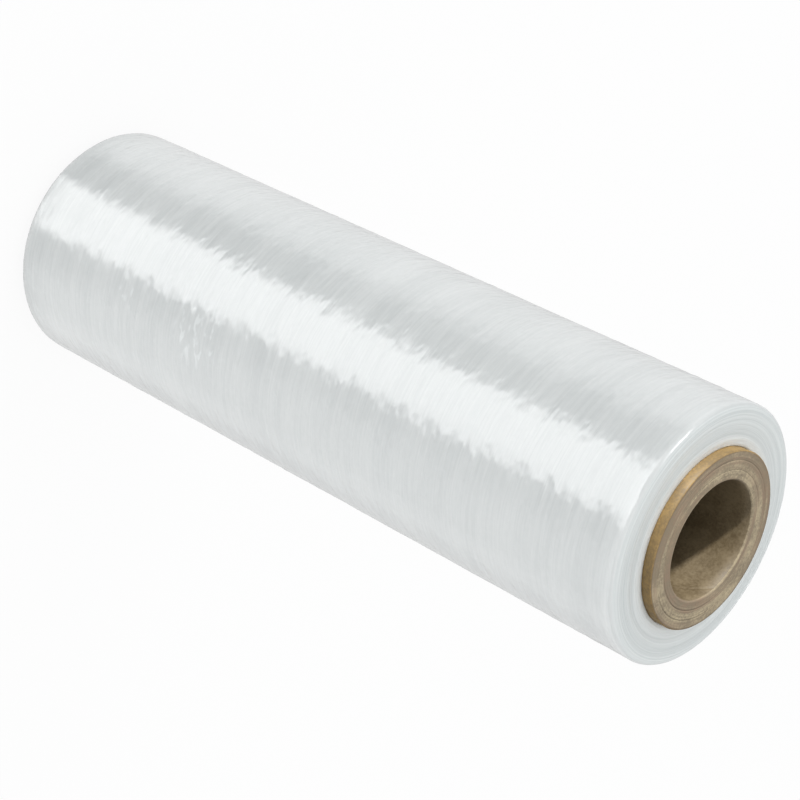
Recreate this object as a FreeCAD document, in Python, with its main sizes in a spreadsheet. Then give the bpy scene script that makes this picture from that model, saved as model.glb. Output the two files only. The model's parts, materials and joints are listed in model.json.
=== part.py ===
# A roll of clear stretch film for wrapping pallets and parcels by hand.
# A spiral-wound paper tube carries the film, which is one long web wound tightly round it.
# The roll stands on the lower end of its tube: the origin is the centre of that end,
# and +Z runs up the roll's own axis. All sizes are in millimetres.
import FreeCAD
import Part
import Sketcher
import math
import os

doc = FreeCAD.newDocument("stretch_wrap_roll")

# Driving sizes: alias, value and what it measures
SIZES = [
    ("film_width", 355.6, "width of the film web along the axis"),
    ("film_diameter", 111.0, "outside diameter of the wound film"),
    ("core_bore", 50.8, "inside diameter of the paper tube"),
    ("core_wall", 12.5, "wall of the paper tube"),
    ("core_overhang", 4.3, "how far the tube stands out of the film at each end"),
    ("core_rim_bevel", 0.5, "bevel of the tube's cut outer edge"),
    ("core_mouth_bevel", 0.6, "bevel of the tube's cut inner edge"),
    ("ply_line_depth", 0.3, "depth of the lines between paper plies in the cut ends"),
    ("ply_line_width", 0.5, "width of those lines"),
    ("winding_clearance", 0.05, "gap between the tube and the first turn of film"),
    ("edge_round", 2.4, "rounding of the film's outer edge"),
    ("turn_wander", 0.35, "how far groups of turns wander along the axis"),
    ("wander_angle", 137.5, "phase from one group of turns to the next, in degrees"),
    ("turn_slope", 0.5, "radial run of the slope between two groups of turns"),
    ("band_depth", 0.22, "depth of the hoop bands in the outer turns"),
    ("band_angle", 99.0, "phase from one hoop band to the next, in degrees"),
    ("tail_lift", 0.3, "height of the step at the film's loose end"),
    ("tail_sweep", 100.0, "angle over which that step runs out, in degrees"),
    ("tail_bearing", 118.0, "where the loose end lies round the axis, in degrees"),
    ("tail_margin", 7.0, "how far the last turn has drawn in from each film edge"),
    ("tail_sink", 0.1, "how far below the bands the last turn runs out"),
    ("tail_root", 1.2, "depth to which the last turn is joined to the turns below"),
]
PLY_LINES = 2
TURN_GROUPS = 6
HOOP_BANDS = 9
# The film's edge is round in this many flats, because its last turns draw in one after another
EDGE_FLATS = 4
# The outer groups of turns are narrower than the inner ones
GROUP_POWER = 0.8

sheet = doc.addObject("Spreadsheet::Sheet", "sizes")
for row, (alias, value, meaning) in enumerate(SIZES, start=1):
    sheet.set(f"A{row}", meaning)
    sheet.set(f"B{row}", str(value))
    sheet.setAlias(f"B{row}", alias)
doc.recompute()

# Places that more than one piece shares, as expressions on the sheet
CORE_RADIUS = "(sizes.core_bore / 2 + sizes.core_wall)"
CORE_LENGTH = "(sizes.film_width + 2 * sizes.core_overhang)"
FILM_BORE_RADIUS = f"({CORE_RADIUS} + sizes.winding_clearance)"
FILM_RADIUS = "(sizes.film_diameter / 2)"
FILM_TOP = "(sizes.core_overhang + sizes.film_width)"
# The last turn falls by its step, the bands' depth and a little more over its sweep
TAIL_FALL = "(sizes.tail_lift + sizes.band_depth + sizes.tail_sink)"
TAIL_SHIFT = f"({TAIL_FALL} / (1 - cos(sizes.tail_sweep * 1 deg)))"
TAIL_RADIUS = f"({FILM_RADIUS} + sizes.tail_lift - {TAIL_SHIFT})"


def new_body(label):
    """Starts an empty body that carries one piece."""
    body = doc.addObject("PartDesign::Body", label)
    body.Label = label
    return body


def new_sketch(body, name, plane):
    """Adds a sketch on one of the body's own origin planes."""
    sketch = body.newObject("Sketcher::SketchObject", name)
    support = next(f for f in body.Origin.OriginFeatures if f.Role == plane)
    sketch.AttachmentSupport = [(support, "")]
    sketch.MapMode = "FlatFace"
    return sketch


def value_of(expression):
    """The number that an expression on the sheet stands for."""
    result = sheet.evalExpression(expression)
    return float(getattr(result, "Value", result))


def draw_outline(sketch, corners):
    """Draws a closed outline through corners, each a pair of expressions for its place in the sketch."""
    guesses = [(value_of(across), value_of(along)) for across, along in corners]
    count = len(corners)
    for start in range(count):
        first = FreeCAD.Vector(*guesses[start], 0)
        second = FreeCAD.Vector(*guesses[(start + 1) % count], 0)
        sketch.addGeometry(Part.LineSegment(first, second), False)
    for line in range(count):
        sketch.addConstraint(Sketcher.Constraint("Coincident", line, 2, (line + 1) % count, 1))
    for line, ((across, along), (x, y)) in enumerate(zip(corners, guesses)):
        held = sketch.addConstraint(Sketcher.Constraint("DistanceX", -1, 1, line, 1, x))
        sketch.setExpression(f"Constraints[{held}]", across)
        if along == "0":
            sketch.addConstraint(Sketcher.Constraint("PointOnObject", line, 1, -1))
        else:
            held = sketch.addConstraint(Sketcher.Constraint("DistanceY", -1, 1, line, 1, y))
            sketch.setExpression(f"Constraints[{held}]", along)


def spin(body, sketch, name):
    """Revolves a sketch a full turn about the roll's axis."""
    feature = body.newObject("PartDesign::Revolution", name)
    feature.Profile = sketch
    feature.ReferenceAxis = (sketch, ["V_Axis"])
    feature.Angle = 360.0
    body.Tip = feature
    doc.recompute()
    return feature


def rims(feature, radius, heights):
    """Names the round edges of a feature that have this radius and lie at one of these heights."""
    near = 1e-3
    found = []
    for number, edge in enumerate(feature.Shape.Edges, start=1):
        curve = edge.Curve
        if not isinstance(curve, Part.Circle) or abs(curve.Radius - radius) > near:
            continue
        if any(abs(curve.Center.z - height) < near for height in heights):
            found.append(f"Edge{number}")
    return found


def bevel_rims(body, base, name, radius, heights, size):
    """Bevels the edges at a radius and some heights by a size from the sheet."""
    feature = body.newObject("PartDesign::Chamfer", name)
    feature.Base = (base, rims(base, radius, heights))
    feature.Size = value_of(size)
    feature.setExpression("Size", size)
    body.Tip = feature
    doc.recompute()
    if feature.Shape.Volume >= base.Shape.Volume:
        raise ValueError(f"{name} cut nothing")
    return feature


def end_profile_of_core(height, inwards):
    """Corners of a cut end from bore to rim, with the narrow lines where one paper ply meets the next."""
    corners = [("sizes.core_bore / 2", height)]
    for line in range(1, PLY_LINES + 1):
        middle = f"sizes.core_bore / 2 + sizes.core_wall * {line} / {PLY_LINES + 1}"
        floor = f"{height} {inwards} sizes.ply_line_depth"
        corners.append((f"{middle} - sizes.ply_line_width / 2", height))
        corners.append((middle, floor))
        corners.append((f"{middle} + sizes.ply_line_width / 2", height))
    corners.append((CORE_RADIUS, height))
    return corners


def make_core_tube():
    """The paper tube: a thick wall with square-cut ends, its edges broken by the saw."""
    body = new_body("core_tube")
    sketch = new_sketch(body, "core_section", "XZ_Plane")
    lower = end_profile_of_core("0", "+")
    upper = end_profile_of_core(CORE_LENGTH, "-")
    draw_outline(sketch, lower + upper[::-1])
    tube = spin(body, sketch, "core_wall_turned")
    ends = [0.0, value_of(CORE_LENGTH)]
    mouth_radius = value_of("sizes.core_bore / 2")
    rim = bevel_rims(body, tube, "cut_rim", value_of(CORE_RADIUS), ends, "sizes.core_rim_bevel")
    bevel_rims(body, rim, "cut_mouth", mouth_radius, ends, "sizes.core_mouth_bevel")
    return body


def wander(group):
    """How far one group of turns stands along the axis from its true place. The outermost is true."""
    if group == TURN_GROUPS - 1:
        return "0"
    return f"sizes.turn_wander * sin({group} * sizes.wander_angle * 1 deg)"


def group_radius(group):
    """Inner radius of a group of turns."""
    share = (group / TURN_GROUPS) ** GROUP_POWER
    span = f"({FILM_RADIUS} - sizes.edge_round - {FILM_BORE_RADIUS})"
    return f"{FILM_BORE_RADIUS} + {span} * {share:.4f}"


def film_end(height, inwards):
    """Corners of a film end from the tube out and round the soft edge.

    Both ends wander the same way, because a turn that stands proud at one end lies back at the other.
    """
    corners = [(FILM_BORE_RADIUS, f"{height} + {wander(0)}")]
    for group in range(1, TURN_GROUPS):
        corners.append((group_radius(group), f"{height} + {wander(group - 1)}"))
        corners.append((f"{group_radius(group)} + sizes.turn_slope", f"{height} + {wander(group)}"))
    for flat in range(EDGE_FLATS + 1):
        angle = 90 * flat / EDGE_FLATS
        out = f"{FILM_RADIUS} - sizes.edge_round * (1 - sin({angle} deg))"
        along = f"{height} {inwards} sizes.edge_round * (1 - cos({angle} deg))"
        corners.append((out, along))
    return corners


def film_side():
    """Corners up the film's outer side, where thick and thin places in the web add up to hoop bands."""
    reach = "(sizes.film_width - 2 * sizes.edge_round)"
    corners = []
    for band in range(1, HOOP_BANDS):
        dip = f"sizes.band_depth * (0.5 - 0.5 * cos({band} * sizes.band_angle * 1 deg))"
        place = f"sizes.core_overhang + sizes.edge_round + {reach} * {band} / {HOOP_BANDS}"
        corners.append((f"{FILM_RADIUS} - {dip}", place))
    return corners


def add_tail(body):
    """The loose end of the film: the last turn ends in a low step and sinks slowly into the turns below."""
    sketch = new_sketch(body, "tail_section", "XY_Plane")
    origin = FreeCAD.Vector(0, 0, 0)
    upwards = FreeCAD.Vector(0, 0, 1)
    sweep = math.radians(value_of("sizes.tail_sweep"))
    # The last turn's outside is a circle set off to one side, so that it falls away from the step
    shift = value_of(TAIL_SHIFT)
    outer = value_of(TAIL_RADIUS)
    inner = value_of(f"{FILM_RADIUS} - sizes.tail_root")
    outside = Part.ArcOfCircle(Part.Circle(FreeCAD.Vector(shift, 0, 0), upwards, outer), -sweep, 0)
    inside = Part.ArcOfCircle(Part.Circle(origin, upwards, inner), -sweep, 0)
    run_out = Part.LineSegment(inside.StartPoint, outside.StartPoint)
    step = Part.LineSegment(inside.EndPoint, outside.EndPoint)
    outer_arc, inner_arc, start_line, step_line = sketch.addGeometry(
        [outside, inside, run_out, step], False
    )
    sketch.addConstraint([
        Sketcher.Constraint("Coincident", start_line, 1, inner_arc, 1),
        Sketcher.Constraint("Coincident", start_line, 2, outer_arc, 1),
        Sketcher.Constraint("Coincident", step_line, 1, inner_arc, 2),
        Sketcher.Constraint("Coincident", step_line, 2, outer_arc, 2),
        Sketcher.Constraint("Coincident", inner_arc, 3, -1, 1),
        Sketcher.Constraint("PointOnObject", outer_arc, 3, -1),
        Sketcher.Constraint("PointOnObject", outer_arc, 2, -1),
        Sketcher.Constraint("PointOnObject", inner_arc, 2, -1),
    ])
    sized = [
        (Sketcher.Constraint("DistanceX", -1, 1, outer_arc, 3, shift), TAIL_SHIFT),
        (Sketcher.Constraint("Radius", outer_arc, outer), TAIL_RADIUS),
        (Sketcher.Constraint("Radius", inner_arc, inner), f"{FILM_RADIUS} - sizes.tail_root"),
        (Sketcher.Constraint("Angle", inner_arc, sweep), "sizes.tail_sweep * 1 deg"),
        (Sketcher.Constraint("Angle", outer_arc, sweep), "sizes.tail_sweep * 1 deg"),
    ]
    for constraint, expression in sized:
        held = sketch.addConstraint(constraint)
        sketch.setExpression(f"Constraints[{held}]", expression)
    sketch.setExpression(
        "AttachmentOffset.Base.z", "sizes.core_overhang + sizes.tail_margin"
    )
    sketch.setExpression("AttachmentOffset.Rotation.Angle", "sizes.tail_bearing")
    pad = body.newObject("PartDesign::Pad", "last_turn")
    pad.Profile = sketch
    pad.setExpression("Length", "sizes.film_width - 2 * sizes.tail_margin")
    body.Tip = pad
    doc.recompute()
    return pad


def make_film_roll():
    """The wound film: every turn of the web as one solid, with its loose end on the outside."""
    body = new_body("film_roll")
    sketch = new_sketch(body, "film_section", "XZ_Plane")
    lower = film_end("sizes.core_overhang", "+")
    upper = film_end(FILM_TOP, "-")
    draw_outline(sketch, lower + film_side() + upper[::-1])
    turns = spin(body, sketch, "wound_turns")
    tail = add_tail(body)
    if tail.Shape.Volume <= turns.Shape.Volume:
        raise ValueError("the film's last turn added nothing")
    return body


def check_and_write(bodies):
    """Stops on any failed object or bad shape, then writes one STEP file for each piece."""
    doc.recompute()
    failed = [o.Name for o in doc.Objects if {"Invalid", "Error"} & set(o.State)]
    if failed:
        raise ValueError(f"these objects failed: {failed}")
    for body in bodies:
        shape = body.Shape
        if shape.isNull() or not shape.isValid() or len(shape.Solids) != 1:
            raise ValueError(f"{body.Label} isn't one valid solid")
    os.makedirs("parts", exist_ok=True)
    for body in bodies:
        body.Shape.exportStep(f"parts/{body.Label}.step")
        box = body.Shape.BoundBox
        print(
            f"{body.Label}: {box.XLength:.2f} x {box.YLength:.2f} x {box.ZLength:.2f} mm,"
            f" {body.Shape.Volume / 1000:.1f} cm3, {len(body.Shape.Faces)} faces"
        )


core_tube = make_core_tube()
film_roll = make_film_roll()
check_and_write([core_tube, film_roll])
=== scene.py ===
# %% [markdown]
# # A roll of stretch wrap, dressed in Blender
#
# The real object is a thick paper tube with about three hundred metres of clear film wound
# tightly round it. This lesson dresses the measured model of that roll: it gives the film
# its milky gloss and hoop streaks, and the tube its kraft paper, plies and spiral seam.
#
# The measured model comes first. The main sizes are read from it, so the dressed roll can't
# drift away from the real one. Lengths are in metres, and +Z is the axis of the roll, which
# stands on the lower end of its tube.

# %% Load the measured model and read its sizes
import functools
import json
import math
import random

import bpy
from mathutils import Matrix, Vector, noise


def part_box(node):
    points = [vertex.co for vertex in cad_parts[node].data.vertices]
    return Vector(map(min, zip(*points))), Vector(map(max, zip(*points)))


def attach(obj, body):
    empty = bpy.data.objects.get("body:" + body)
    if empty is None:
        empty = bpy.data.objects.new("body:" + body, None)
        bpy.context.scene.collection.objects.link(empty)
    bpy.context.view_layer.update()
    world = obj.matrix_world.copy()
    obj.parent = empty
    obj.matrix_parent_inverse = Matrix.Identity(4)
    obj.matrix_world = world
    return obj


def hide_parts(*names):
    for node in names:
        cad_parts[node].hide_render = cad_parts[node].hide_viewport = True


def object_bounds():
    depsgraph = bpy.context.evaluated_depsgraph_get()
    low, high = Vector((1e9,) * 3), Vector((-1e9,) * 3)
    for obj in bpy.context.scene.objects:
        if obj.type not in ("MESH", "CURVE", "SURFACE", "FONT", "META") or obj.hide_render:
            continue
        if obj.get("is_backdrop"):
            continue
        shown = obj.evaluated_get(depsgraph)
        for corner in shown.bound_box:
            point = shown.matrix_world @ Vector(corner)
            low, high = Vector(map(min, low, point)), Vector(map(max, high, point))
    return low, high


# Sizes are kept in metres and most are written in millimetres
MM = 0.001
TURN = 2 * math.pi

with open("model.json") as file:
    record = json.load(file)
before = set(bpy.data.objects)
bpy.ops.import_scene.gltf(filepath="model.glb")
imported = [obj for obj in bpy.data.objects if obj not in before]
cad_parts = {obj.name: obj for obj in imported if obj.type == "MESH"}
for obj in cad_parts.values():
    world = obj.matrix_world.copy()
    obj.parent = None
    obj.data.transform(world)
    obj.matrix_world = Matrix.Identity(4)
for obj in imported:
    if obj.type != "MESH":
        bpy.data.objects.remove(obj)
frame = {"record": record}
cad_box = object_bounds()
mounts = {mount["name"]: mount for mount in frame["record"]["mounts"]}

core_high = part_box("core_tube")[1]
film_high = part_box("film_roll")[1]
CORE_RADIUS = core_high.x
CORE_LENGTH = core_high.z
BORE_RADIUS = mounts["core_bore"]["dims"]["r_mm"] * MM
FILM_RADIUS = film_high.x
# How far the tube stands out of the film at each end
CORE_OVERHANG = 4.3 * MM
FILM_LOW = CORE_OVERHANG
FILM_HIGH = CORE_LENGTH - CORE_OVERHANG
WINDING_CLEARANCE = 0.05 * MM
FILM_BORE = CORE_RADIUS + WINDING_CLEARANCE

print(f"film {2 * FILM_RADIUS / MM:.1f} mm over the roll")
print(f"film {(FILM_HIGH - FILM_LOW) / MM:.1f} mm wide")
print(f"tube {2 * CORE_RADIUS / MM:.1f} mm outside, {2 * BORE_RADIUS / MM:.1f} mm inside")

# %% [markdown]
# ## The camera
#
# A product photo of a roll is taken from near one end with a long lens, and the roll runs
# diagonally through the picture. Here the roll stands on its end, so the same picture needs
# a camera that looks down from in front and is then rolled about its own line of sight.
# The tilt, the roll and the place come from fitting the outlines of the roll's two ends.

# %% Place the camera
CAMERA_PLACE = Vector((5.5 * MM, -778.7 * MM, 776.9 * MM))
CAMERA_LOOKS_DOWN = math.radians(36.55)
CAMERA_ROLL = math.radians(116.70)
# Width of the sensor in millimetres, focal length and picture width in pixels
SENSOR = 36.0
FOCAL_PIXELS = 2257.0
PICTURE_PIXELS = 800

camera_data = bpy.data.cameras.new("camera")
camera_data.sensor_width = SENSOR
camera_data.lens = FOCAL_PIXELS / PICTURE_PIXELS * SENSOR
camera_data.clip_start = 10 * MM
camera = bpy.data.objects.new("camera", camera_data)
tilt = Matrix.Rotation(math.pi / 2 - CAMERA_LOOKS_DOWN, 4, "X")
roll = Matrix.Rotation(CAMERA_ROLL, 4, "Z")
camera.matrix_world = Matrix.Translation(CAMERA_PLACE) @ tilt @ roll
bpy.context.scene.collection.objects.link(camera)
bpy.context.scene.camera = camera
print(f"lens {camera_data.lens:.1f} mm, {CAMERA_PLACE.length:.3f} m from the foot of the roll")


# %% [markdown]
# ## Small helpers for shader nodes
#
# Materials here are graphs of nodes. A few helpers keep them short to read: they add a node
# and set its values, join two sockets, do a sum on the way, stretch a place, read a noise,
# spread a value over a new range and mix two colours or two shaders.

# %% Helpers for shader nodes
def add_node(tree, kind, **settings):
    """Adds a node. Settings named after inputs set them, and others set properties."""
    node = tree.nodes.new(kind)
    for name, value in settings.items():
        socket = name.replace("_", " ")
        if socket in node.inputs:
            node.inputs[socket].default_value = value
        else:
            setattr(node, name, value)
    return node


def join(tree, source, target):
    """Runs a link from an output socket to an input socket."""
    tree.links.new(source, target)


def sum_of(tree, operation, first, second=0.0):
    """Puts a sum between sockets or numbers, and returns its output socket."""
    node = tree.nodes.new("ShaderNodeMath")
    node.operation = operation
    for place, value in enumerate((first, second)):
        if isinstance(value, bpy.types.NodeSocket):
            tree.links.new(value, node.inputs[place])
        else:
            node.inputs[place].default_value = value
    return node.outputs[0]


def weighted_sum(tree, first, second, share):
    """The first value times its share, plus the second times the rest."""
    first_part = sum_of(tree, "MULTIPLY", first, share)
    return sum_of(tree, "ADD", first_part, sum_of(tree, "MULTIPLY", second, 1 - share))


def stretch(tree, source, scale):
    """Scales a vector by a different number along each axis."""
    node = tree.nodes.new("ShaderNodeVectorMath")
    node.operation = "MULTIPLY"
    tree.links.new(source, node.inputs[0])
    node.inputs[1].default_value = scale
    return node.outputs[0]


def noise_value(tree, vector, detail, roughness=0.5):
    """A noise of unit size read at a vector."""
    node = add_node(tree, "ShaderNodeTexNoise", Scale=1.0, Detail=detail, Roughness=roughness)
    tree.links.new(vector, node.inputs["Vector"])
    return node.outputs["Fac"]


def spread(tree, value, low, high, new_low, new_high):
    """Maps a value from one range onto another, smoothly."""
    node = add_node(tree, "ShaderNodeMapRange", interpolation_type="SMOOTHSTEP")
    tree.links.new(value, node.inputs["Value"])
    ends = {"From Min": low, "From Max": high, "To Min": new_low, "To Max": new_high}
    for name, number in ends.items():
        node.inputs[name].default_value = number
    return node.outputs["Result"]


def mix_colours(tree, factor, first, second):
    """Mixes two colours or colour sockets."""
    node = add_node(tree, "ShaderNodeMix", data_type="RGBA")
    for name, value in (("Factor", factor), ("A", first), ("B", second)):
        sockets = [s for s in node.inputs if s.name == name and s.enabled]
        if isinstance(value, bpy.types.NodeSocket):
            tree.links.new(value, sockets[0])
        else:
            sockets[0].default_value = value
    return next(s for s in node.outputs if s.enabled)


def mix_shaders(tree, factor, first, second):
    """Mixes the outputs of two shaders, by a factor's socket."""
    node = add_node(tree, "ShaderNodeMixShader")
    for place, source in enumerate((factor, first, second)):
        join(tree, source, node.inputs[place])
    return node.outputs[0]


print("node helpers are ready")

# %% [markdown]
# ## The floor and what the film mirrors
#
# The floor is plain white. To the camera it glows softly under its own shading, so that it
# reads as white paper and still keeps the roll's shadow. Inside the tube it neither glows nor
# shows in the paper's sheen, because no studio light reaches it there.
#
# A standing roll mirrors the floor, and nothing else, to a camera that looks down. The long
# white bands on real film are lamps seen in it as in a mirror, so here the floor carries
# their images for mirrored rays only: sectors that fan out from the roll, bright where a lamp
# hangs and dim where nothing does. The rays that one bearing of a round roll mirrors seem to
# come from a line inside it, about halfway to its axis. A sector whose point lies on that
# line shows as a band that keeps its place all the way up the film.

# %% Describe the lamps' images
# Level of the mirrored room where no image lies. White paper is 1
MIRRORED_ROOM = 0.75
# Distances from the axis over which the images fade in, because the roll shades its own foot
FOOT_FADE = (55 * MM, 70 * MM)
# Each image: where it starts and ends round the roll and the softness of both sides, in
# degrees, the x and y of its point in millimetres, and how much it adds
LAMP_IMAGES = [
    ("dark wall behind", 71.0, 109.0, 24.0, 24.0, (0, 28), -0.25),
    ("long lamp behind", 82.0, 98.0, 9.0, 9.0, (0, 28), 1.30),
    ("ceiling to the left", 146.0, 192.0, 60.0, 22.0, (-20, -39), 0.28),
    ("dark gap", 201.0, 290.0, 18.0, 30.0, (-8, -35), -0.38),
    ("long lamp in front", 235.5, 288.5, 9.0, 11.0, (0, -28), 1.98),
    ("window to the right", 312.0, 392.0, 40.0, 30.0, (20, -39), 0.39),
]


def image_mask(tree, bearing, start, end, start_soft, end_soft):
    """One where a bearing lies within an image, falling to zero at its sides."""
    middle = math.radians((start + end) / 2)
    half = math.radians((end - start) / 2)
    # Bearings are counted from the image's middle, half a turn either way
    wrap = add_node(tree, "ShaderNodeMath", operation="WRAP")
    join(tree, sum_of(tree, "SUBTRACT", bearing, middle), wrap.inputs[0])
    wrap.inputs[1].default_value = math.pi
    wrap.inputs[2].default_value = -math.pi
    turned = wrap.outputs[0]
    soft_in = math.radians(start_soft) / 2
    soft_out = math.radians(end_soft) / 2
    rising = spread(tree, turned, -half - soft_in, -half + soft_in, 0.0, 1.0)
    falling = spread(tree, turned, half - soft_out, half + soft_out, 1.0, 0.0)
    return sum_of(tree, "MULTIPLY", rising, falling)


def mirrored_level(tree, place, from_axis):
    """Brightness of the mirrored room at a place on the floor, and so far from the axis."""
    parts = add_node(tree, "ShaderNodeSeparateXYZ")
    join(tree, place, parts.inputs[0])
    level = 0.0
    for name, start, end, start_soft, end_soft, point, extra in LAMP_IMAGES:
        x = sum_of(tree, "SUBTRACT", parts.outputs["X"], point[0] * MM)
        y = sum_of(tree, "SUBTRACT", parts.outputs["Y"], point[1] * MM)
        mask = image_mask(tree, sum_of(tree, "ARCTAN2", y, x), start, end, start_soft, end_soft)
        mask.node.label = name
        level = sum_of(tree, "ADD", sum_of(tree, "MULTIPLY", mask, extra), level)
    clear_of_foot = spread(tree, from_axis, *FOOT_FADE, 0.0, 1.0)
    return sum_of(tree, "ADD", sum_of(tree, "MULTIPLY", level, clear_of_foot), MIRRORED_ROOM)


print(f"the film mirrors {len(LAMP_IMAGES)} images")


# %% Make the floor
FLOOR_HALF = 6.0
FLOOR_PAPER = (0.82, 0.82, 0.82, 1)
# Share of a plain white glow in what the camera sees of the paper
FLOOR_GLOW = 0.92
WHITE = (1, 1, 1, 1)


def floor_material():
    """White paper for the camera, and the lamps' images for mirrored rays."""
    material = bpy.data.materials.new("floor_paper")
    material.use_nodes = True
    tree = material.node_tree
    tree.nodes.clear()
    place = add_node(tree, "ShaderNodeTexCoord").outputs["Object"]
    length = add_node(tree, "ShaderNodeVectorMath", operation="LENGTH")
    join(tree, place, length.inputs[0])
    from_axis = length.outputs["Value"]
    outside = spread(tree, from_axis, BORE_RADIUS, CORE_RADIUS, 0.0, 1.0)

    # What the camera sees: the paper with its glow. Other rays meet the plain paper
    paper = add_node(tree, "ShaderNodeBsdfDiffuse", Color=FLOOR_PAPER).outputs[0]
    glow = add_node(tree, "ShaderNodeEmission", Color=WHITE, Strength=1.0).outputs[0]
    seen = mix_shaders(tree, sum_of(tree, "MULTIPLY", outside, FLOOR_GLOW), paper, glow)
    path = add_node(tree, "ShaderNodeLightPath").outputs
    direct = sum_of(tree, "MAXIMUM", path["Is Camera Ray"], path["Is Transmission Ray"])
    surface = mix_shaders(tree, direct, paper, seen)

    # What the film sees: the lamps' images
    mirrored = add_node(tree, "ShaderNodeEmission", Color=WHITE)
    level = sum_of(tree, "MULTIPLY", mirrored_level(tree, place, from_axis), outside)
    join(tree, level, mirrored.inputs["Strength"])
    surface = mix_shaders(tree, path["Is Glossy Ray"], surface, mirrored.outputs[0])
    output = add_node(tree, "ShaderNodeOutputMaterial")
    join(tree, surface, output.inputs["Surface"])
    return material


floor_mesh = bpy.data.meshes.new("floor")
corners = [(x * FLOOR_HALF, y * FLOOR_HALF, 0) for x, y in ((-1, -1), (1, -1), (1, 1), (-1, 1))]
floor_mesh.from_pydata(corners, [], [(0, 1, 2, 3)])
floor_mesh.materials.append(floor_material())
floor = bpy.data.objects.new("floor", floor_mesh)
bpy.context.scene.collection.objects.link(floor)
floor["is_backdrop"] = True
print(f"floor {2 * FLOOR_HALF:.0f} m square")

# %% [markdown]
# ## The light
#
# Two things light the film: a pale room all round, which the world stands for, and one large
# soft lamp on the side that is the upper one in the picture. The room is dimmer in the mirror
# than it is as a light, so that the soft edges of the film's ends don't flare.

# %% Light the roll
ROOM_COLOUR = (0.985, 0.995, 1.0, 1)
ROOM_LEVEL = 1.0
MIRRORED_CEILING = 0.45
# The lamp: what it faces, where it stands from there, its size and its power
LAMP_AIM = Vector((0, 0, 0.25))
LAMP_BEARING = math.radians(205)
LAMP_HEIGHT = math.radians(42)
LAMP_DISTANCE = 1.6
LAMP_SIZE = 0.55
LAMP_WATTS = 3.6


def square_lamp(name, size, watts, aim, bearing, height, distance):
    """A square lamp that stands at a bearing and height from a point, and faces that point."""
    data = bpy.data.lights.new(name, "AREA")
    data.shape = "SQUARE"
    data.size = size
    data.energy = watts
    lamp = bpy.data.objects.new(name, data)
    level = math.cos(height)
    towards = Vector((level * math.cos(bearing), level * math.sin(bearing), math.sin(height)))
    lamp.location = aim + distance * towards
    lamp.rotation_euler = towards.to_track_quat("Z", "Y").to_euler()
    bpy.context.scene.collection.objects.link(lamp)
    return lamp


world = bpy.data.worlds.new("pale_room")
world.use_nodes = True
bpy.context.scene.world = world
world_tree = world.node_tree
world_tree.nodes.clear()
shades = {}
for name, colour, strength in (
    ("room", ROOM_COLOUR, ROOM_LEVEL),
    ("ceiling", WHITE, MIRRORED_CEILING),
    ("background", WHITE, 1.0),
):
    shade = add_node(world_tree, "ShaderNodeBackground", Color=colour, Strength=strength)
    shades[name] = shade.outputs[0]
path = add_node(world_tree, "ShaderNodeLightPath").outputs
sky = mix_shaders(world_tree, path["Is Glossy Ray"], shades["room"], shades["ceiling"])
sky = mix_shaders(world_tree, path["Is Camera Ray"], sky, shades["background"])
world_out = add_node(world_tree, "ShaderNodeOutputWorld")
join(world_tree, sky, world_out.inputs["Surface"])

square_lamp(
    "soft_lamp", LAMP_SIZE, LAMP_WATTS, LAMP_AIM, LAMP_BEARING, LAMP_HEIGHT, LAMP_DISTANCE
)
print(f"one lamp of {LAMP_WATTS:.1f} W at {LAMP_DISTANCE} m, room level {ROOM_LEVEL}")

# %% [markdown]
# Paper swallows light and the bore is deep, so the tube would look dull beside the pale film.
# A second lamp, lower and to the same side, draws the slanting line between light and shade
# in the mouth. Light linking keeps it on the tube alone, as a card with a hole in it would
# in a studio. The tube joins this lamp's collection further on, when it is built.

# %% Make the lamp for the tube
TUBE_MOUTH = Vector((0, 0, CORE_LENGTH))
TUBE_LAMP_BEARING = math.radians(217)
TUBE_LAMP_HEIGHT = math.radians(20.5)
TUBE_LAMP_DISTANCE = 1.2
TUBE_LAMP_SIZE = 0.07
TUBE_LAMP_WATTS = 21.0

tube_lamp = square_lamp(
    "tube_lamp", TUBE_LAMP_SIZE, TUBE_LAMP_WATTS,
    TUBE_MOUTH, TUBE_LAMP_BEARING, TUBE_LAMP_HEIGHT, TUBE_LAMP_DISTANCE,
)
lit_by_tube_lamp = bpy.data.collections.new("lit_by_tube_lamp")
tube_lamp.light_linking.receiver_collection = lit_by_tube_lamp
print(f"the tube's lamp stands {math.degrees(TUBE_LAMP_HEIGHT):.0f} degrees above its mouth")


# %% [markdown]
# ## A mesh that goes round
#
# Both pieces are rings: a closed outline carried round the axis. A lathe would make them
# perfectly regular, and real wound film isn't. So one helper walks the outline and the angle
# together and asks a function for each point. The function can then move any point by itself,
# and the mesh stays closed, because the last row joins the first and the last column too.

# %% A helper that builds a closed ring from a function of row and column
def ring_mesh(name, rows, columns, point_at, slot_at):
    """Builds a closed ring. point_at gives a point, and slot_at the material slot of a row."""
    points = [point_at(row, column) for row in range(rows) for column in range(columns)]
    faces = []
    slots = []
    for row in range(rows):
        after = (row + 1) % rows
        for column in range(columns):
            beside = (column + 1) % columns
            faces.append((
                row * columns + column,
                row * columns + beside,
                after * columns + beside,
                after * columns + column,
            ))
            slots.append(slot_at(row))
    mesh = bpy.data.meshes.new(name)
    mesh.from_pydata(points, [], faces)
    mesh.polygons.foreach_set("material_index", slots)
    mesh.polygons.foreach_set("use_smooth", [True] * len(faces))
    mesh.update()
    made = bpy.data.objects.new(name, mesh)
    bpy.context.scene.collection.objects.link(made)
    print(f"{name}: {len(points)} points, {2 * len(faces)} triangles")
    return made


def evenly(first, last, count):
    """Count numbers from first to last, both ends included."""
    return [first + (last - first) * step / (count - 1) for step in range(count)]


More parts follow.
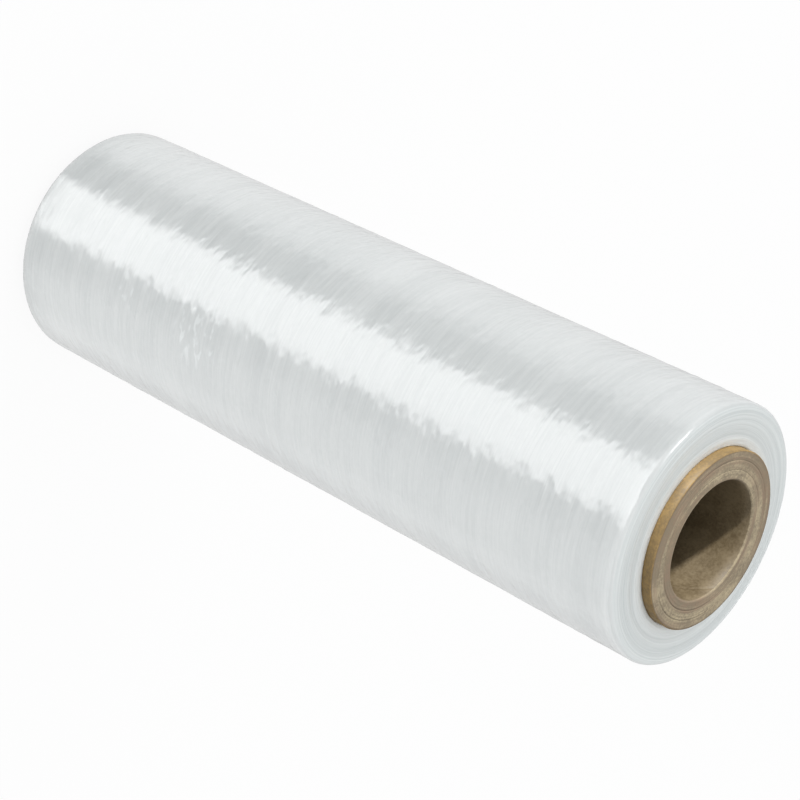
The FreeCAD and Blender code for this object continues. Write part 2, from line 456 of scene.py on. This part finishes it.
# %% [markdown]
# ## The outside of the wound film
#
# Film is never quite the same thickness across its width. Hundreds of turns add those small
# differences up into hoop bands that can be felt. On top of them lie fine ridges, where a
# trapped fold or a stretched line runs part of the way round, and here and there a patch of
# small blisters where air was caught. All of it is drawn out along the winding direction,
# so the noise below is read at points that change slowly round the roll and quickly along it.

# %% Describe the height of the outermost turns
# Bands and ridges: their spacing along the roll, how much they change round it, in steps of
# noise for each radian, their height, and where their noise starts
GAUGE_BANDS = [(34 * MM, 0.15, 0.10 * MM, 3.1), (13 * MM, 0.15, 0.045 * MM, 7.7)]
RIDGES = [
    (5.0 * MM, 1.6, 0.060 * MM, 20.0),
    (2.4 * MM, 3.2, 0.030 * MM, 29.0),
    (6.5 * MM, 4.4, 0.110 * MM, 38.0),
]


def noise_round(angle, height, spacing, change, start):
    """Noise without a seam round the roll, which changes over one spacing along the axis."""
    east, north = math.cos(angle) * change, math.sin(angle) * change
    return noise.noise(Vector((east, north, height / spacing + start)))


def hoop_height(angle, height):
    """How far the outermost turn stands out of its true radius."""
    total = 0.0
    for spacing, change, depth, start in GAUGE_BANDS + RIDGES:
        total += depth * noise_round(angle, height, spacing, change, start)
    return total


sample = [hoop_height(0.0, height) / MM for height in evenly(FILM_LOW, FILM_HIGH, 120)]
print(f"outermost turns stand {min(sample):.2f} to {max(sample):.2f} mm from true")

# %% [markdown]
# Trapped air shows as a small group of soft blisters, longer round the roll than along it.
# They are placed by bearing and height, and each is one bump with a round top. Slack strands
# are lower and longer, and lie all over the roll. Where a lamp's image ends they tilt the
# film just enough to comb its edge. Most lie along the side of the image that is the lower
# one in the picture, and near the roll's foot.

# %% Describe the blisters and slack strands
# Bearing in degrees, then in millimetres: height up the roll, length round it, width along
# it, and lift
BLISTERS = [
    (282.0, 112.5, 4.5, 1.8, 0.34),
    (288.0, 117.0, 2.4, 2.0, 0.42),
    (293.0, 124.5, 2.6, 2.2, 0.50),
    (296.5, 119.0, 3.0, 1.8, 0.34),
    (294.5, 133.0, 2.6, 2.0, 0.44),
    (283.0, 134.0, 2.4, 2.4, 0.36),
    (301.0, 141.0, 2.8, 1.8, 0.34),
    (286.5, 78.0, 5.0, 1.5, 0.38),
    (293.5, 79.5, 3.6, 1.5, 0.34),
    (262.0, 205.0, 2.6, 1.8, 0.24),
    (64.0, 210.0, 3.6, 2.0, 0.34),
    (70.0, 217.0, 2.8, 1.8, 0.30),
    (150.0, 92.0, 3.4, 2.0, 0.32),
]
# Slack strands: how many, between which bearings and up to which height they lie
STRAND_FIELDS = [(34, 268.0, 296.0, 130.0), (90, 0.0, 360.0, 350.0), (150, 272.0, 300.0, 350.0)]
# Their lowest place, and between what their length, width and lift lie, in millimetres
STRAND_LOW = 14.0
STRAND_LENGTH = (3.5, 8.0)
STRAND_WIDTH = (1.8, 2.8)
STRAND_LIFT = (0.07, 0.22)
draw = random.Random(11)


def slack_strands():
    """Strands scattered over each field, each described as a blister is."""
    strands = []
    for count, first, last, top in STRAND_FIELDS:
        ranges = ((first, last), (STRAND_LOW, top), STRAND_LENGTH, STRAND_WIDTH, STRAND_LIFT)
        for number in range(count):
            strands.append(tuple(draw.uniform(low, high) for low, high in ranges))
    return strands


BUMPS = BLISTERS + slack_strands()


@functools.cache
def bumps_at(height):
    """The blisters and strands that reach this height."""
    return [bump for bump in BUMPS if abs(height / MM - bump[1]) < bump[3]]


def blister_height(angle, height):
    """The lift of any blister or strand at a place on the roll."""
    total = 0.0
    for bearing, middle, length, width, lift in bumps_at(height):
        turned = (angle - math.radians(bearing) + math.pi) % TURN - math.pi
        round_way = turned * FILM_RADIUS / (length * MM)
        along = (height - middle * MM) / (width * MM)
        away = round_way * round_way + along * along
        if away < 1:
            total += lift * MM * (1 - away) ** 2
    return total


print(f"{len(BLISTERS)} blisters and {len(BUMPS) - len(BLISTERS)} slack strands")

# %% [markdown]
# The last turn has an end. It lies on the turn below as a low step, and clings there. Two
# columns of the mesh lie close together at that step, and wander a little from side to side
# on their way up the roll, as a torn end does.

# %% Describe the loose end of the film
TAIL_BEARING = math.radians(118.0)
TAIL_LIFT = 0.26 * MM
# The lift runs out over this much of the turn behind the loose end
TAIL_SWEEP = math.radians(100.0)
# It also runs out near both ends of the roll: the margin that stays flat, and the taper's length
TAIL_MARGIN = 7.0 * MM
TAIL_TAPER = 3.0 * MM
# How many millimetres the loose end strays round the roll, over which height, and where its
# noise starts
TAIL_STRAYS = [(3.0, 60 * MM, (0.3, 4.0)), (0.7, 9 * MM, (5.3, 1.0))]
# The mesh columns follow it up to this angle from it
TAIL_PULL = math.radians(60)
STEP_WIDTH = 0.35 * MM
FILM_COLUMNS = 264


def tail_wander(height):
    """How far the loose end strays round the roll at a height."""
    stray = 0.0
    for distance, spacing, start in TAIL_STRAYS:
        stray += distance * noise.noise(Vector((*start, height / spacing)))
    return stray * MM / FILM_RADIUS


def tail_height(turned, height):
    """The lift of the last turn: full just behind its end, running out over its sweep."""
    # At the foot of the step turned is zero but for rounding, which lifts the foot in some
    # rows and leaves it down in others. The step comes out ragged by one column's width
    if turned > 0 or turned < -TAIL_SWEEP:
        return 0.0
    from_edge = min(height - FILM_LOW, FILM_HIGH - height) - TAIL_MARGIN
    share = max(0.0, min(1.0, from_edge / TAIL_TAPER))
    return TAIL_LIFT * share * (1 + turned / TAIL_SWEEP) ** 2


def film_angle(column, height):
    """The bearing of a mesh column. The first is the foot of the step, the last its top."""
    step_angle = STEP_WIDTH / FILM_RADIUS
    share = column / (FILM_COLUMNS - 1)
    turned = share * (TURN - step_angle)
    # The wander dies away from the step, so that columns far from it stand straight
    near = max(0.0, 1 - min(turned, TURN - turned) / TAIL_PULL)
    return TAIL_BEARING + turned + tail_wander(height) * near * near


tail_degrees = math.degrees(TAIL_BEARING)
print(f"the loose end stands {TAIL_LIFT / MM:.2f} mm high at {tail_degrees:.0f} degrees")

# %% [markdown]
# ## The ends of the wound film
#
# At the ends the turns show their edges. The web wandered sideways by a fraction of a
# millimetre while it was wound, so the edges make fine rings, a little proud or a little
# deep, and the same turn that stands proud at one end lies back at the other. The outer edge
# is soft, because the last turns have drawn in.

# %% Describe the wander of the turns and the outline of the film
# Wide and narrow groups of turns: their width, how far they wander along the axis, how much
# they change round the roll, and where their noise starts
TURN_WANDERS = [(4.2 * MM, 0.42 * MM, 0.4, 0), (1.3 * MM, 0.20 * MM, 0.8, 40)]
# The wander dies away over this depth, up to the last turns, which have drawn in
SETTLED_DEPTH = 3 * MM
EDGE_ROUND = 2.4 * MM
# A row that faces along the axis by more than this belongs to the end
END_FACING = 0.7
END_ROWS = 40
EDGE_ROWS = 7
SIDE_ROWS = 268


def noise_across(across, angle, change, start=0):
    """Noise without a seam round the axis, which changes over one step across it."""
    east, north = math.cos(angle) * change, math.sin(angle) * change
    return noise.noise(Vector((across, east, north + start)))


def turn_wander(radius, angle):
    """How far the turn at this radius stands along the axis from its true place."""
    depth = radius - FILM_BORE
    wander = 0.0
    for width, distance, change, start in TURN_WANDERS:
        wander += distance * noise_across(depth / width + start, angle, change)
    return wander * min(1.0, (FILM_RADIUS - radius) / SETTLED_DEPTH)


def film_outline():
    """The section of the film: each row's radius and height, how far it faces out and along."""
    flat_radii = evenly(FILM_BORE, FILM_RADIUS - EDGE_ROUND, END_ROWS)
    edge = []
    for step in range(1, EDGE_ROWS):
        turned = math.pi / 2 * step / EDGE_ROWS
        out, along = math.sin(turned), math.cos(turned)
        edge.append((FILM_RADIUS - EDGE_ROUND * (1 - out), EDGE_ROUND * (1 - along), out, along))
    rows = [(radius, FILM_LOW, 0.0, 1.0) for radius in flat_radii]
    rows += [(radius, FILM_LOW + inset, *facing) for radius, inset, *facing in edge]
    side_heights = evenly(FILM_LOW + EDGE_ROUND, FILM_HIGH - EDGE_ROUND, SIDE_ROWS)
    rows += [(FILM_RADIUS, height, 1.0, 0.0) for height in side_heights]
    rows += [(radius, FILM_HIGH - inset, *facing) for radius, inset, *facing in reversed(edge)]
    rows += [(radius, FILM_HIGH, 0.0, 1.0) for radius in reversed(flat_radii)]
    return rows


film_rows = film_outline()
print(f"the film's outline has {len(film_rows)} rows")


# %% Build the wound film
def film_point(row, column):
    """One point of the film: its place on the true outline, moved by what the turns do there."""
    radius, height, outwards, along = film_rows[row]
    angle = film_angle(column, height)
    turned = angle - TAIL_BEARING - tail_wander(height)
    turned = turned - TURN if turned > math.pi else turned
    lift = hoop_height(angle, height) + blister_height(angle, height) + tail_height(turned, height)
    radius += lift * outwards ** 2
    height += turn_wander(radius, angle) * along ** 2
    return (radius * math.cos(angle), radius * math.sin(angle), height)


def film_slot(row):
    """The end faces and the flatter half of the soft edges take the second material, with its
    painted shade.
    """
    along = film_rows[row][3]
    return 1 if along > END_FACING else 0


def loose_end_share(row, column):
    """One on the top of the loose end's step and zero elsewhere, for the film's colour there."""
    height = film_rows[row][1]
    within = FILM_LOW + TAIL_MARGIN < height < FILM_HIGH - TAIL_MARGIN
    return 1.0 if within and column == FILM_COLUMNS - 1 else 0.0


film = ring_mesh("film_wound", len(film_rows), FILM_COLUMNS, film_point, film_slot)
loose_end = film.data.attributes.new("loose_end", "FLOAT", "POINT")
loose_end.data.foreach_set("value", [
    loose_end_share(row, column) for row in range(len(film_rows)) for column in range(FILM_COLUMNS)
])
print(f"the loose end is marked on {sum(point.value for point in loose_end.data):.0f} points")

# %% [markdown]
# ## The tube
#
# The tube is wound too, from strips of brown paperboard that run round it as a screw thread
# does. Where the edges of one strip meet, a faint seam climbs the wall inside and outside.
# The mesh is twisted along with those strips: its columns follow the seam, so the seam is
# one narrow groove between two columns and costs almost nothing.
#
# The cut ends show the plies. Each is a thin ring, some a little proud and some torn low by
# the blade, with a few deeper lines where the glue let go.

# %% Describe the tube's outline and its twist
CORE_COLUMNS = 176
WALL_ROWS = 74
CUT_ROWS = 52
RIM_BEVEL = 0.5 * MM
MOUTH_BEVEL = 0.6 * MM
SEAM_LEAD = 170 * MM
SEAM_WIDTH = 0.9 * MM
SEAM_DEPTH = 0.22 * MM
# The walls' waves: how far they sink the paper, their spacing up the tube and their change
# round it
WALL_WAVE = (0.05 * MM, 30 * MM, 2)
# How far the cut ends lie back from the true ones
CUT_BACK = 0.07 * MM
# Plies and frayed fibres in the cut: their depth, their number of changes through the wall,
# their change round it, and where their noise starts
CUT_UNEVENNESS = [(0.09 * MM, 17, 0.5, 7), (0.04 * MM, 30, 14, 3)]
# The deeper lines: where they lie, as a share of the wall, their depth and half their width
PLY_LINES = (1 / 3, 2 / 3)
LINE_DEPTH = 0.24 * MM
LINE_HALF_WIDTH = 0.32 * MM
# How far they stray, as a share of the wall, how differently from each other, and how much
# this changes round the tube
LINE_STRAY = (0.012, 9, 2)


def core_outline():
    """The section of the tube: each row's radius and height, how far it faces out and along."""
    cut_radii = evenly(BORE_RADIUS + MOUTH_BEVEL, CORE_RADIUS - RIM_BEVEL, CUT_ROWS)
    rows = [(radius, 0.0, 0.0, 1.0) for radius in cut_radii]
    outer_wall = evenly(RIM_BEVEL, CORE_LENGTH - RIM_BEVEL, WALL_ROWS)
    rows += [(CORE_RADIUS, height, 1.0, 0.0) for height in outer_wall]
    rows += [(radius, CORE_LENGTH, 0.0, 1.0) for radius in reversed(cut_radii)]
    inner_wall = evenly(CORE_LENGTH - MOUTH_BEVEL, MOUTH_BEVEL, WALL_ROWS)
    rows += [(BORE_RADIUS, height, -1.0, 0.0) for height in inner_wall]
    return rows


def ply_height(radius, angle):
    """How far the paper stands back from the true cut, never proud of it."""
    wall = CORE_RADIUS - BORE_RADIUS
    share = (radius - BORE_RADIUS) / wall
    depth = CUT_BACK
    for amount, across, change, start in CUT_UNEVENNESS:
        depth += amount * noise_across(share * across, angle, change, start)
    amount, apart, change = LINE_STRAY
    for line in PLY_LINES:
        stray = amount * noise_across(line * apart, angle, change)
        away = abs(share - line - stray) * wall / LINE_HALF_WIDTH
        depth += LINE_DEPTH * max(0.0, 1 - away)
    return max(0.0, depth)


core_rows = core_outline()
print(f"the tube's outline has {len(core_rows)} rows")
print(f"its seam climbs {SEAM_LEAD / MM:.0f} mm a turn")


# %% Build the tube
def core_angle(column, height):
    """The bearing of a mesh column, twisted with the strips. Columns 0 and 1 bound the seam."""
    seam = SEAM_WIDTH / CORE_RADIUS
    turned = column * seam
    if column >= 2:
        turned = seam + (TURN - seam) * (column - 1) / (CORE_COLUMNS - 1)
    return turned + TURN * height / SEAM_LEAD


def core_point(row, column):
    """One point of the tube: the true outline, with the seam sunk and the cut ends uneven."""
    radius, height, outwards, along = core_rows[row]
    angle = core_angle(column, height)
    depth, spacing, change = WALL_WAVE
    wave = noise_round(angle, height, spacing, change, 0)
    sunk = depth * abs(wave) + (SEAM_DEPTH if column < 2 else 0.0)
    radius -= outwards * sunk
    inwards = 1 if height < CORE_LENGTH / 2 else -1
    height += inwards * along * ply_height(radius, angle)
    return (radius * math.cos(angle), radius * math.sin(angle), height)


def core_slot(row):
    """The outer wall takes the first material, the cut ends the second, the bore the third."""
    outwards, along = core_rows[row][2:]
    if along:
        return 1
    return 0 if outwards > 0 else 2


core = ring_mesh("core_paperboard", len(core_rows), CORE_COLUMNS, core_point, core_slot)
lit_by_tube_lamp.objects.link(core)

# %% [markdown]
# ## Winding streaks as a node group
#
# Geometry carries everything wider than about a millimetre. Finer streaks are bump and small
# changes of colour and gloss. The outside and the ends of the film share them, so they are
# one node group: it takes a place, stretched so that it changes fast across the streaks and
# slowly along them, and gives out a fine value, a cloudy one and a height for the bump. Its
# flecks are short white streaks, for the places where air lies under the outermost turn, and
# there they are partly painted highlight for the glints that the blisters catch from the lamp.
#
# The height is mostly short slack spots, where one strand of the web lies a hair lower than
# its neighbours. They tilt the film by a few degrees, and that is what gives the lamp's
# mirror image its ragged, combed edges.

# %% Build the group of winding streaks
# Scales of the clouds, slack spots and flecks beside the fine streaks. The first two numbers
# of each are round the roll, and the last is across the streaks
CLOUD_SCALE = (0.31, 0.31, 0.09)
SLACK_SCALE = (3.6, 3.6, 0.30)
FLECK_SCALE = (5.5, 5.5, 0.42)
# Values of the noise between which a fleck fades in
FLECK_RANGE = (0.53, 0.68)
# Of the bump's height, the share that is slack spots rather than fine streaks
SLACK_SHARE = 0.97
# The middle of a noise's values, from which the contrast spreads them
MIDDLE = 0.5


def new_group(name, inputs, outputs):
    """An empty node group with named sockets. Gives the group and the sockets at its ends."""
    group = bpy.data.node_groups.new(name, "ShaderNodeTree")
    for in_out, sockets in (("INPUT", inputs), ("OUTPUT", outputs)):
        for socket, kind in sockets.items():
            group.interface.new_socket(socket, in_out=in_out, socket_type=f"NodeSocket{kind}")
    start = group.nodes.new("NodeGroupInput")
    end = group.nodes.new("NodeGroupOutput")
    return group, start.outputs, end.inputs


def winding_streaks_group():
    """A group that reads fine streaks and slow clouds at a stretched place."""
    group, given, made = new_group(
        "winding_streaks",
        {"Place": "Vector", "Contrast": "Float"},
        {"Streaks": "Float", "Clouds": "Float", "Height": "Float", "Flecks": "Float"},
    )
    place = given["Place"]
    fine = noise_value(group, place, detail=3.0, roughness=0.65)
    from_middle = sum_of(group, "SUBTRACT", fine, MIDDLE)
    scaled = sum_of(group, "MULTIPLY", from_middle, given["Contrast"])
    join(group, sum_of(group, "ADD", scaled, MIDDLE), made["Streaks"])
    slow_place = stretch(group, place, CLOUD_SCALE)
    clouds = noise_value(group, slow_place, detail=3.0, roughness=0.55)
    join(group, clouds, made["Clouds"])
    slack = noise_value(group, stretch(group, place, SLACK_SCALE), detail=1.0)
    join(group, weighted_sum(group, slack, fine, SLACK_SHARE), made["Height"])
    specks = noise_value(group, stretch(group, place, FLECK_SCALE), detail=1.0)
    join(group, spread(group, specks, *FLECK_RANGE, 0.0, 1.0), made["Flecks"])
    return group


winding_streaks = winding_streaks_group()
print("the group gives", [item.name for item in winding_streaks.interface.items_tree])

# %% [markdown]
# ## The film's two materials
#
# One layer of film is clear. Hundreds of them, each with a little air behind it, scatter the
# light and look like milk with a cool tint, under a hard clear gloss. So the base is a pale
# grey that is slightly green-blue. The sharp mirror images of the lamps belong to the base
# too, because the bump tilts them there and combs their edges. A clear coat, which the bump
# leaves alone, adds the broad sheen round them.
#
# The outside reads its streaks at points that change slowly round the roll. The ends read
# theirs at the distance from the axis, so that each streak is the edge of one turn. Their
# colours are painted darker than the outside's, as painted shade against the extra light that
# falls on the ends, and paler beside the tube, as painted light where the tube shades them.

# %% Helpers for materials
def new_material(name):
    """An empty material with a Principled shader joined to its output."""
    material = bpy.data.materials.new(name)
    material.use_nodes = True
    tree = material.node_tree
    tree.nodes.clear()
    shader = add_node(tree, "ShaderNodeBsdfPrincipled")
    output = add_node(tree, "ShaderNodeOutputMaterial")
    join(tree, shader.outputs[0], output.inputs["Surface"])
    return material, tree, shader


def set_inputs(node, values):
    """Sets a node's inputs to plain numbers or colours, by their names."""
    for name, value in values.items():
        node.inputs[name].default_value = value


def place_group(tree, group, place, **values):
    """Puts a node group in a material, reads it at a place and sets its plain inputs."""
    node = tree.nodes.new("ShaderNodeGroup")
    node.node_tree = group
    join(tree, place, node.inputs["Place"])
    set_inputs(node, values)
    return node


def bump(tree, shader, height, distance):
    """Runs a height through a bump node into the shader."""
    node = add_node(tree, "ShaderNodeBump", Strength=1.0, Distance=distance)
    join(tree, height, node.inputs["Height"])
    join(tree, node.outputs["Normal"], shader.inputs["Normal"])


print("material helpers are ready")


# %% Describe the film's tone, gloss and milkiness
# Values between which the tone goes from deep to pale
TONE_RANGE = (0.30, 0.70)
FILM_IOR = 1.51
# Each of the outermost turns mirrors a little, so this index stands for several of them
STACK_IOR = 2.0
# Share of the light that goes in and comes out beside, and how far each colour gets
FILM_MILK = {
    "Subsurface Weight": 0.6,
    "Subsurface Radius": (1, 1, 1),
    "Subsurface Scale": 9 * MM,
}


def film_tone(tree, streaks, streak_share):
    """Zero where the wound film is deep in tone, and one where it is pale."""
    fine, clouds = streaks.outputs["Streaks"], streaks.outputs["Clouds"]
    return spread(tree, weighted_sum(tree, fine, clouds, streak_share), *TONE_RANGE, 0.0, 1.0)


print(f"the film's index is {FILM_IOR}, and {STACK_IOR} for a stack of turns")


# %% Make the film's outside
FILM_PALE = (0.728, 0.748, 0.744, 1)
FILM_DEEP = (0.644, 0.668, 0.666, 1)
# Trapped air under the outermost turn is paler, and these flecks are partly painted highlight for
# the glints on its blisters
FILM_AIR_AND_GLINT = (0.785, 0.81, 0.81, 1)
# Where air lies under the outermost turn and its painted glints go: bearing in degrees, height and
# reach in millimetres
AIR_AND_GLINT_PATCHES = [(291, 125, 19), (289, 78, 8), (67, 213, 14), (150, 92, 11)]
# Share of its reach within which a patch is at its palest
PATCH_HEART = 0.5
# How pale the last millimetres of the loose end are, which cling less than the turns below
LOOSE_END_PALE = 0.7
# Scale of the streaks round the roll and along it, their contrast, and their share of the tone
SIDE_SCALE = (34, 34, 900)
SIDE_CONTRAST = 1.9
SIDE_STREAK_SHARE = 0.32
# Roughness where the tone is deep and where it is pale, and the height of the bump
SIDE_ROUGHNESS = (0.09, 0.26)
SIDE_BUMP = 0.75 * MM


def air_and_glint_mask(tree, place):
    """One at the middle of each patch of trapped air and painted glints, fading out at its edge.
    """
    total = 0.0
    for bearing, height, reach in AIR_AND_GLINT_PATCHES:
        turned = math.radians(bearing)
        away = add_node(tree, "ShaderNodeVectorMath", operation="DISTANCE")
        join(tree, place, away.inputs[0])
        away.inputs[1].default_value = (
            FILM_RADIUS * math.cos(turned), FILM_RADIUS * math.sin(turned), height * MM
        )
        edge = reach * MM
        near = spread(tree, away.outputs["Value"], PATCH_HEART * edge, edge, 1.0, 0.0)
        total = sum_of(tree, "ADD", near, total)
    return total


def film_side_material():
    """The outside of the roll: milky and streaked round the hoop, with a sharp gloss."""
    material, tree, shader = new_material("film_outside")
    place = add_node(tree, "ShaderNodeTexCoord").outputs["Object"]
    wound_place = stretch(tree, place, SIDE_SCALE)
    streaks = place_group(tree, winding_streaks, wound_place, Contrast=SIDE_CONTRAST)
    tone = film_tone(tree, streaks, SIDE_STREAK_SHARE)
    wound = mix_colours(tree, tone, FILM_DEEP, FILM_PALE)
    # Air flecks, partly painted glints, and the pale loose end
    airy_and_glint = sum_of(tree, "MULTIPLY", streaks.outputs["Flecks"], air_and_glint_mask(tree, place))
    end = add_node(tree, "ShaderNodeAttribute", attribute_name="loose_end").outputs["Fac"]
    airy_and_glint = sum_of(tree, "MAXIMUM", airy_and_glint, sum_of(tree, "MULTIPLY", end, LOOSE_END_PALE))
    join(tree, mix_colours(tree, airy_and_glint, wound, FILM_AIR_AND_GLINT), shader.inputs["Base Color"])
    join(tree, spread(tree, tone, 0.0, 1.0, *SIDE_ROUGHNESS), shader.inputs["Roughness"])
    set_inputs(shader, {
        "IOR": STACK_IOR, "Coat Weight": 1.0, "Coat IOR": FILM_IOR, "Coat Roughness": 0.30,
    })
    set_inputs(shader, FILM_MILK)
    bump(tree, shader, streaks.outputs["Height"], SIDE_BUMP)
    return material


film.data.materials.append(film_side_material())
print("the outside is", film.data.materials[0].name)


# %% Make the film's ends
# Painted shade: the ends are painted darker than the outside, against the extra light that falls
# on them
END_PALE_WITH_PAINTED_SHADE = (0.705, 0.73, 0.725, 1)
END_DEEP_WITH_PAINTED_SHADE = (0.56, 0.59, 0.588, 1)
# Painted light: the turns beside the tube are painted paler over this depth, where the tube's
# overhang shades them
END_PAINTED_LIGHT_BY_TUBE = (0.82, 0.845, 0.835, 1)
PAINTED_LIGHT_DEPTH = 6 * MM
# Scale of the streaks round the axis and away from it, their contrast, and their share of
# the tone
END_SCALE = (10.0, 2600.0)
END_CONTRAST = 1.6
END_STREAK_SHARE = 0.5
END_BUMP = 0.3 * MM


def ring_place(tree, place, scale_round, scale_across):
    """A place that changes slowly round the axis and fast away from it, and the distance."""
    parts = add_node(tree, "ShaderNodeSeparateXYZ")
    join(tree, place, parts.inputs[0])
    x, y = parts.outputs["X"], parts.outputs["Y"]
    squares = sum_of(tree, "ADD", sum_of(tree, "MULTIPLY", x, x), sum_of(tree, "MULTIPLY", y, y))
    from_axis = sum_of(tree, "SQRT", squares)
    rings = add_node(tree, "ShaderNodeCombineXYZ")
    scaled = {"X": (x, scale_round), "Y": (y, scale_round), "Z": (from_axis, scale_across)}
    for axis, (value, scale) in scaled.items():
        join(tree, sum_of(tree, "MULTIPLY", value, scale), rings.inputs[axis])
    return rings.outputs[0], from_axis


def film_end_material():
    """The edges of the turns: fine rings, less glossy than the outside, painted darker as shade
    and paler by the tube as light.
    """
    material, tree, shader = new_material("film_turn_edges")
    place = add_node(tree, "ShaderNodeTexCoord").outputs["Object"]
    rings, from_axis = ring_place(tree, place, *END_SCALE)
    streaks = place_group(tree, winding_streaks, rings, Contrast=END_CONTRAST)
    ringed_with_painted_shade = mix_colours(tree, film_tone(tree, streaks, END_STREAK_SHARE), END_DEEP_WITH_PAINTED_SHADE, END_PALE_WITH_PAINTED_SHADE)
    # Painted light beside the tube, where its overhang shades the film's end
    painted_light_near_tube = spread(tree, from_axis, CORE_RADIUS, CORE_RADIUS + PAINTED_LIGHT_DEPTH, 1.0, 0.0)
    join(tree, mix_colours(tree, painted_light_near_tube, ringed_with_painted_shade, END_PAINTED_LIGHT_BY_TUBE), shader.inputs["Base Color"])
    set_inputs(shader, {
        "Roughness": 0.38, "IOR": FILM_IOR, "Coat Weight": 0.25, "Coat Roughness": 0.22,
    })
    set_inputs(shader, FILM_MILK)
    bump(tree, shader, streaks.outputs["Height"], END_BUMP)
    return material


film.data.materials.append(film_end_material())
print("film materials:", [material.name for material in film.data.materials])

# %% [markdown]
# ## Paper fibres as a node group
#
# Brown paperboard is felted fibre: fine specks and short dark hairs on a tan ground. The
# walls and the cut ends of the tube both show it, so it is a node group too. It takes a
# place and a pair of colours, and gives the mixed colour and a height for the bump.

# %% Build the group of paper fibres
MOTTLE_SCALE = (120, 120, 120)
HAIR_SCALE = (900, 900, 900)
# Values between which the colour goes from the fibre's to the ground's
FIBRE_RANGE = (0.36, 0.64)
# Share of the mottle in that value, beside the hairs
MOTTLE_SHARE = 0.5


def paper_fibres_group():
    """A group that mottles two paper colours and gives a fibre height."""
    group, given, made = new_group(
        "paper_fibres",
        {"Place": "Vector", "Ground": "Color", "Fibre": "Color"},
        {"Colour": "Color", "Height": "Float"},
    )
    mottle_place = stretch(group, given["Place"], MOTTLE_SCALE)
    mottle = noise_value(group, mottle_place, detail=3.0, roughness=0.6)
    hair_place = stretch(group, given["Place"], HAIR_SCALE)
    hairs = noise_value(group, hair_place, detail=3.0, roughness=0.7)
    mixed = weighted_sum(group, mottle, hairs, MOTTLE_SHARE)
    share = spread(group, mixed, *FIBRE_RANGE, 0.0, 1.0)
    join(group, mix_colours(group, share, given["Fibre"], given["Ground"]), made["Colour"])
    join(group, hairs, made["Height"])
    return group


paper_fibres = paper_fibres_group()
print("the group gives", [item.name for item in paper_fibres.interface.items_tree])

# %% [markdown]
# ## The tube's three materials
#
# The outer wall is smooth kraft liner, golden brown and slightly polished by the winding
# machine, and the bore's wall is a duller, olive one. The cut ends are greyer, because the
# middle plies are recycled board, and they change from ply to ply: tan, then a little pink.
# A dark band along the outer rim of each cut end is painted shade, for the gap beside the film.

# %% Make the tube's materials
LINER_GROUND = (0.242, 0.155, 0.052, 1)
LINER_FIBRE = (0.140, 0.092, 0.036, 1)
BORE_GROUND = (0.165, 0.126, 0.072, 1)
BORE_FIBRE = (0.098, 0.070, 0.035, 1)
PLY_TAN = (0.280, 0.231, 0.148, 1)
PLY_PINK = (0.173, 0.120, 0.078, 1)
PLY_FIBRE = (0.151, 0.120, 0.078, 1)
# Painted shade along the outer rim of the cut ends, for the dark gap between tube and film
PLY_RIM_PAINTED_SHADE = (0.107, 0.074, 0.043, 1)
# How far in from the outer rim the painted shade starts, and where it is full
RIM_SHADE_REACH = (1.5 * MM, 0.2 * MM)
# Scales of the ply rings, round the axis and away from it, and the values between which a
# ring goes from pink to tan
PLY_SCALE = (14.0, 270.0)
PLY_RANGE = (0.41, 0.59)
# The liner's roughness, from its low fibres to its high ones, and the fibre heights between
LINER_ROUGHNESS = (0.50, 0.62)
LINER_RANGE = (0.3, 0.7)
CUT_ROUGHNESS = 0.85
LINER_BUMP = 0.06 * MM
CUT_BUMP = 0.15 * MM


def liner_material(name, ground, fibre):
    """A wall of the tube: kraft paper with a soft polish."""
    material, tree, shader = new_material(name)
    place = add_node(tree, "ShaderNodeTexCoord").outputs["Object"]
    fibres = place_group(tree, paper_fibres, place, Ground=ground, Fibre=fibre).outputs
    polish = spread(tree, fibres["Height"], *LINER_RANGE, *LINER_ROUGHNESS)
    join(tree, fibres["Colour"], shader.inputs["Base Color"])
    join(tree, polish, shader.inputs["Roughness"])
    bump(tree, shader, fibres["Height"], LINER_BUMP)
    return material


def cut_ply_material():
    """The tube's cut ends: rings of different board, with painted shade along the outer rim."""
    material, tree, shader = new_material("cut_plies")
    place = add_node(tree, "ShaderNodeTexCoord").outputs["Object"]
    rings, from_axis = ring_place(tree, place, *PLY_SCALE)
    ply = noise_value(tree, rings, detail=2.0, roughness=0.6)
    ply = spread(tree, ply, *PLY_RANGE, 0.0, 1.0)
    fibres = place_group(tree, paper_fibres, place, Fibre=PLY_FIBRE)
    join(tree, mix_colours(tree, ply, PLY_PINK, PLY_TAN), fibres.inputs["Ground"])
    # Painted shade along the outer rim, where the gap between tube and film lies
    shade_start, shade_full = (CORE_RADIUS - inset for inset in RIM_SHADE_REACH)
    rim_shade = spread(tree, from_axis, shade_start, shade_full, 0.0, 1.0)
    rim_shaded = mix_colours(tree, rim_shade, fibres.outputs["Colour"], PLY_RIM_PAINTED_SHADE)
    join(tree, rim_shaded, shader.inputs["Base Color"])
    shader.inputs["Roughness"].default_value = CUT_ROUGHNESS
    bump(tree, shader, fibres.outputs["Height"], CUT_BUMP)
    return material


core.data.materials.append(liner_material("kraft_outside", LINER_GROUND, LINER_FIBRE))
core.data.materials.append(cut_ply_material())
core.data.materials.append(liner_material("kraft_bore", BORE_GROUND, BORE_FIBRE))
print("tube materials:", [material.name for material in core.data.materials])

# %% [markdown]
# ## Hand the pieces to the frame
#
# Each dressed piece takes the place of one measured solid and rides on the roll's one body.
# The boxes of both models are printed side by side.

# %% Ride and replace
for piece, node, finish in ((film, "film_roll", "clear_film"), (core, "core_tube", "paperboard")):
    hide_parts(node)
    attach(piece, "root")

bpy.context.scene.view_settings.view_transform = "Standard"

seen_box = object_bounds()
for title, box in (("CAD box", cad_box), ("visual box", seen_box)):
    print(title, [[round(value / MM, 2) for value in corner] for corner in box])
